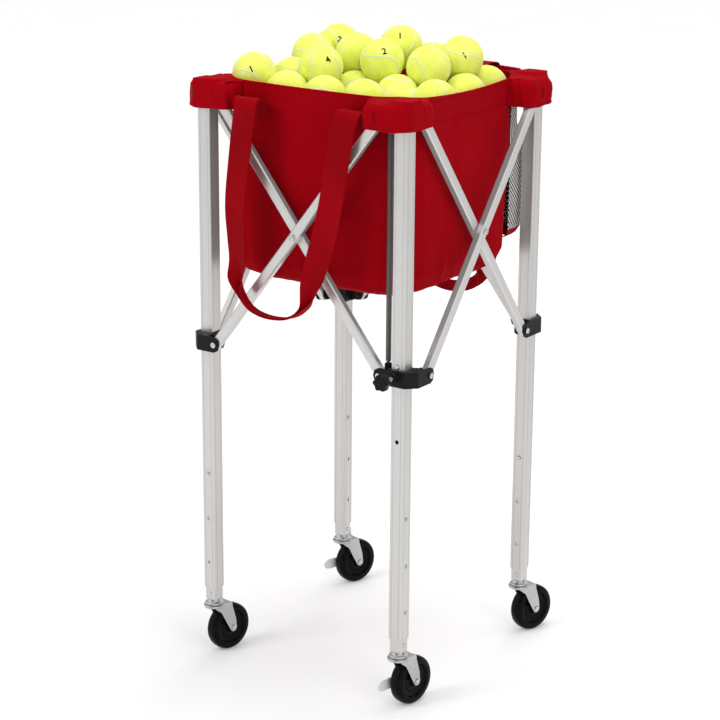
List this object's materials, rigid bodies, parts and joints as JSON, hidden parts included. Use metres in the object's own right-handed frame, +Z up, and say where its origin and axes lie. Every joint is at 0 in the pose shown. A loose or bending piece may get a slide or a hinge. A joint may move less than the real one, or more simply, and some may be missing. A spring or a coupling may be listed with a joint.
{
  "type": "tennis ball cart",
  "caption": "Folding ball cart: square telescopic legs on casters, scissor struts, a soft bag heaped with tennis balls, carry straps and a mesh side pocket.",
  "frame": {"origin": "on the floor, under the middle of the cart's bounding box", "axes": "+Z up; the carry strap that the picture shows hangs on the -Y side; front right leg at +X, -Y"},
  "size_m": [0.4172, 0.4746, 0.9808],
  "materials": {
    "tube": "satin",
    "inner_tube": "satin",
    "plastic": "satin",
    "wheel": "gloss",
    "chrome": "polished",
    "rivet": "satin",
    "red_fabric": "matte",
    "webbing": "matte",
    "mesh": "matte",
    "felt": "matte"
  },
  "bodies": {
    "leg_front_right": {"leg_outer_front_right": "tube", "top_bracket_front_right": "plastic", "pocket_front_right": "red_fabric", "stop_rivet": "rivet", "spring": "chrome", "bag": "red_fabric"},
    "leg_back_right": {"leg_outer_back_right": "tube", "top_bracket_back_right": "plastic", "pocket_back_right": "red_fabric", "mesh_pocket": "mesh"},
    "leg_back_left": {"leg_outer_back_left": "tube", "top_bracket_back_left": "plastic", "pocket_back_left": "red_fabric"},
    "leg_front_left": {"leg_outer_front_left": "tube", "top_bracket_front_left": "plastic", "pocket_front_left": "red_fabric"},
    "strut_front_outer": {"strut_front_outer": "tube"},
    "strut_front_inner": {"strut_front_inner": "tube"},
    "strut_right_outer": {"strut_right_outer": "tube"},
    "strut_right_inner": {"strut_right_inner": "tube"},
    "strut_back_outer": {"strut_back_outer": "tube"},
    "strut_back_inner": {"strut_back_inner": "tube"},
    "strut_left_outer": {"strut_left_outer": "tube"},
    "strut_left_inner": {"strut_left_inner": "tube"},
    "slider_front_right": {"slider_front_right": "plastic"},
    "lower_leg_front_right": {"leg_inner_front_right": "inner_tube", "caster_cup_front_right": "chrome"},
    "button_front_right": {"snap_button_front_right": "rivet"},
    "fork_front_right": {"caster_fork_front_right": "chrome", "caster_axle_front_right": "rivet"},
    "wheel_front_right": {"caster_wheel_front_right": "wheel"},
    "slider_back_right": {"slider_back_right": "plastic"},
    "lower_leg_back_right": {"leg_inner_back_right": "inner_tube", "caster_cup_back_right": "chrome"},
    "button_back_right": {"snap_button_back_right": "rivet"},
    "fork_back_right": {"caster_fork_back_right": "chrome", "caster_axle_back_right": "rivet"},
    "wheel_back_right": {"caster_wheel_back_right": "wheel"},
    "slider_back_left": {"slider_back_left": "plastic"},
    "lower_leg_back_left": {"leg_inner_back_left": "inner_tube", "caster_cup_back_left": "chrome"},
    "button_back_left": {"snap_button_back_left": "rivet"},
    "fork_back_left": {"caster_fork_back_left": "chrome", "caster_axle_back_left": "rivet"},
    "wheel_back_left": {"caster_wheel_back_left": "wheel"},
    "slider_front_left": {"slider_front_left": "plastic"},
    "lower_leg_front_left": {"leg_inner_front_left": "inner_tube", "caster_cup_front_left": "chrome"},
    "button_front_left": {"snap_button_front_left": "rivet"},
    "fork_front_left": {"caster_fork_front_left": "chrome", "caster_axle_front_left": "rivet"},
    "wheel_front_left": {"caster_wheel_front_left": "wheel"},
    "brake_front_right": {"brake_lever_front_right": "chrome"},
    "brake_back_left": {"brake_lever_back_left": "chrome"},
    "clamp_screw": {"clamp_screw": "chrome"},
    "star_knob": {"star_knob": "plastic"},
    "spring_hook": {"spring_hook": "chrome"},
    "strap_front": {"strap_front": "webbing"},
    "strap_back": {"strap_back": "webbing"},
    "balls": {"ball_load": "felt"}
  },
  "joints": [
    {"name": "fold", "type": "hinge", "parent": "leg_front_right", "child": "strut_front_outer", "pos_m": [0.146, -0.1968, 0.888], "axis": [0, -1, 0], "range_deg": [0, 33.41], "deforming": ["bag", "mesh_pocket", "strap_front", "strap_back", "ball_load", "pocket_front_right", "pocket_back_right", "pocket_back_left", "pocket_front_left", "spring"]},
    {"name": "front_cross", "type": "hinge", "parent": "strut_front_outer", "child": "strut_front_inner", "pos_m": [0, -0.1843, 0.703], "axis": [0, -1, 0], "range_deg": [-66.82, 0]},
    {"name": "front_left_top", "type": "hinge", "parent": "strut_front_inner", "child": "leg_front_left", "pos_m": [-0.146, -0.1843, 0.888], "axis": [0, -1, 0], "range_deg": [0, 33.41]},
    {"name": "front_right_slider_pivot", "type": "hinge", "parent": "strut_front_inner", "child": "slider_front_right", "pos_m": [0.146, -0.1843, 0.518], "axis": [0, -1, 0], "range_deg": [0, 33.41]},
    {"name": "front_left_slider_pivot", "type": "hinge", "parent": "strut_front_outer", "child": "slider_front_left", "pos_m": [-0.146, -0.1968, 0.518], "axis": [0, -1, 0], "range_deg": [-33.41, 0]},
    {"name": "right_inner_top", "type": "hinge", "parent": "leg_front_right", "child": "strut_right_inner", "pos_m": [0.1843, -0.146, 0.888], "axis": [1, 0, 0], "range_deg": [-33.41, 0]},
    {"name": "right_cross", "type": "hinge", "parent": "strut_right_inner", "child": "strut_right_outer", "pos_m": [0.1843, 0, 0.703], "axis": [1, 0, 0], "range_deg": [0, 66.82]},
    {"name": "back_right_top", "type": "hinge", "parent": "strut_right_outer", "child": "leg_back_right", "pos_m": [0.1968, 0.146, 0.888], "axis": [1, 0, 0], "range_deg": [-33.41, 0]},
    {"name": "back_right_slider_pivot", "type": "hinge", "parent": "strut_right_inner", "child": "slider_back_right", "pos_m": [0.1843, 0.146, 0.518], "axis": [1, 0, 0], "range_deg": [0, 33.41]},
    {"name": "left_outer_top", "type": "hinge", "parent": "leg_front_left", "child": "strut_left_outer", "pos_m": [-0.1968, -0.146, 0.888], "axis": [-1, 0, 0], "range_deg": [0, 33.41]},
    {"name": "left_cross", "type": "hinge", "parent": "strut_left_outer", "child": "strut_left_inner", "pos_m": [-0.1843, 0, 0.703], "axis": [-1, 0, 0], "range_deg": [-66.82, 0]},
    {"name": "back_left_top", "type": "hinge", "parent": "strut_left_inner", "child": "leg_back_left", "pos_m": [-0.1843, 0.146, 0.888], "axis": [-1, 0, 0], "range_deg": [0, 33.41]},
    {"name": "back_left_slider_pivot", "type": "hinge", "parent": "strut_left_outer", "child": "slider_back_left", "pos_m": [-0.1968, 0.146, 0.518], "axis": [-1, 0, 0], "range_deg": [-33.41, 0]},
    {"name": "back_inner_top", "type": "hinge", "parent": "leg_back_right", "child": "strut_back_inner", "pos_m": [0.146, 0.1843, 0.888], "axis": [0, 1, 0], "range_deg": [-33.41, 0]},
    {"name": "back_cross", "type": "hinge", "parent": "strut_back_inner", "child": "strut_back_outer", "pos_m": [0, 0.1843, 0.703], "axis": [0, 1, 0], "range_deg": [0, 66.82]},
    {"name": "spring_stretch", "type": "slide", "parent": "leg_front_right", "child": "spring_hook", "axis": [0, 0, -1], "range_m": [0, 0.09964]},
    {"name": "leg_height_front_right", "type": "slide", "parent": "leg_front_right", "child": "lower_leg_front_right", "axis": [0, 0, -1], "range_m": [0, 0.146], "deforming": ["snap_button_front_right"]},
    {"name": "button_press_front_right", "type": "slide", "parent": "lower_leg_front_right", "child": "button_front_right", "axis": [-1, 0, 0], "range_m": [0, 0.004], "stiffness_N_per_m": 1500, "springref_m": -0.002},
    {"name": "caster_swivel_front_right", "type": "hinge", "parent": "lower_leg_front_right", "child": "fork_front_right", "pos_m": [0.175, -0.175, 0.08], "axis": [0, 0, 1], "continuous": true},
    {"name": "wheel_spin_front_right", "type": "hinge", "parent": "fork_front_right", "child": "wheel_front_right", "pos_m": [0.17894, -0.14728, 0.03724], "axis": [-0.99, 0.1409, 0], "continuous": true},
    {"name": "leg_height_back_right", "type": "slide", "parent": "leg_back_right", "child": "lower_leg_back_right", "axis": [0, 0, -1], "range_m": [0, 0.146], "deforming": ["snap_button_back_right"]},
    {"name": "button_press_back_right", "type": "slide", "parent": "lower_leg_back_right", "child": "button_back_right", "axis": [0, 1, 0], "range_m": [0, 0.004], "stiffness_N_per_m": 1500, "springref_m": -0.002},
    {"name": "caster_swivel_back_right", "type": "hinge", "parent": "lower_leg_back_right", "child": "fork_back_right", "pos_m": [0.175, 0.175, 0.08], "axis": [0, 0, 1], "continuous": true},
    {"name": "wheel_spin_back_right", "type": "hinge", "parent": "fork_back_right", "child": "wheel_back_right", "pos_m": [0.18309, 0.20181, 0.03724], "axis": [-0.9573, 0.289, 0], "continuous": true},
    {"name": "leg_height_back_left", "type": "slide", "parent": "leg_back_left", "child": "lower_leg_back_left", "axis": [0, 0, -1], "range_m": [0, 0.146], "deforming": ["snap_button_back_left"]},
    {"name": "button_press_back_left", "type": "slide", "parent": "lower_leg_back_left", "child": "button_back_left", "axis": [-1, 0, 0], "range_m": [0, 0.004], "stiffness_N_per_m": 1500, "springref_m": -0.002},
    {"name": "caster_swivel_back_left", "type": "hinge", "parent": "lower_leg_back_left", "child": "fork_back_left", "pos_m": [-0.175, 0.175, 0.08], "axis": [0, 0, 1], "continuous": true},
    {"name": "wheel_spin_back_left", "type": "hinge", "parent": "fork_back_left", "child": "wheel_back_left", "pos_m": [-0.16756, 0.202, 0.03724], "axis": [-0.9641, 0.2656, 0], "continuous": true},
    {"name": "leg_height_front_left", "type": "slide", "parent": "leg_front_left", "child": "lower_leg_front_left", "axis": [0, 0, -1], "range_m": [0, 0.146], "deforming": ["snap_button_front_left"]},
    {"name": "button_press_front_left", "type": "slide", "parent": "lower_leg_front_left", "child": "button_front_left", "axis": [0, 1, 0], "range_m": [0, 0.004], "stiffness_N_per_m": 1500, "springref_m": -0.002},
    {"name": "caster_swivel_front_left", "type": "hinge", "parent": "lower_leg_front_left", "child": "fork_front_left", "pos_m": [-0.175, -0.175, 0.08], "axis": [0, 0, 1], "continuous": true},
    {"name": "wheel_spin_front_left", "type": "hinge", "parent": "fork_front_left", "child": "wheel_front_left", "pos_m": [-0.16985, -0.14748, 0.03724], "axis": [-0.9829, 0.184, 0], "continuous": true},
    {"name": "brake_press_front_right", "type": "hinge", "parent": "fork_front_right", "child": "brake_front_right", "pos_m": [0.17894, -0.14728, 0.03724], "axis": [0.99, -0.1409, 0], "range_deg": [0, 9]},
    {"name": "brake_press_back_left", "type": "hinge", "parent": "fork_back_left", "child": "brake_back_left", "pos_m": [-0.16756, 0.202, 0.03724], "axis": [0.9641, -0.2656, 0], "range_deg": [0, 9]},
    {"name": "screw_travel", "type": "slide", "parent": "slider_front_right", "child": "clamp_screw", "axis": [0, -1, 0], "range_m": [0, 0.004]},
    {"name": "knob_turn", "type": "hinge", "parent": "clamp_screw", "child": "star_knob", "pos_m": [0.175, -0.226, 0.521], "axis": [0, -1, 0], "range_deg": [0, 1440]},
    {"name": "balls_out", "type": "slide", "parent": "leg_front_right", "child": "balls", "axis": [0, 0, 1], "range_m": [0, 0.31]},
    {"name": "strap_front_swing", "type": "hinge", "parent": "leg_front_right", "child": "strap_front", "pos_m": [0.0165, -0.1685, 0.8885], "axis": [-1, 0, 0], "range_deg": [0, 80]},
    {"name": "strap_back_swing", "type": "hinge", "parent": "leg_back_right", "child": "strap_back", "pos_m": [-0.0165, 0.1685, 0.9115], "axis": [1, 0, 0], "range_deg": [0, 80]}
  ],
  "couplings": [
    {"joint": "front_cross", "follows": "fold", "ratio": -2},
    {"joint": "front_left_top", "follows": "fold", "ratio": 1},
    {"joint": "front_right_slider_pivot", "follows": "fold", "ratio": 1},
    {"joint": "front_left_slider_pivot", "follows": "fold", "ratio": -1},
    {"joint": "right_inner_top", "follows": "fold", "ratio": -1},
    {"joint": "right_cross", "follows": "fold", "ratio": 2},
    {"joint": "back_right_top", "follows": "fold", "ratio": -1},
    {"joint": "back_right_slider_pivot", "follows": "fold", "ratio": 1},
    {"joint": "left_outer_top", "follows": "fold", "ratio": 1},
    {"joint": "left_cross", "follows": "fold", "ratio": -2},
    {"joint": "back_left_top", "follows": "fold", "ratio": 1},
    {"joint": "back_left_slider_pivot", "follows": "fold", "ratio": -1},
    {"joint": "back_inner_top", "follows": "fold", "ratio": -1},
    {"joint": "back_cross", "follows": "fold", "ratio": 2},
    {"joint": "spring_stretch", "follows": "fold", "m_per_rad": 0.17088},
    {"joint": "screw_travel", "follows": "knob_turn", "m_per_rad": 0.00015915},
    {"joint": "balls_out", "follows": "fold", "m_per_rad": 0.53163}
  ]
}
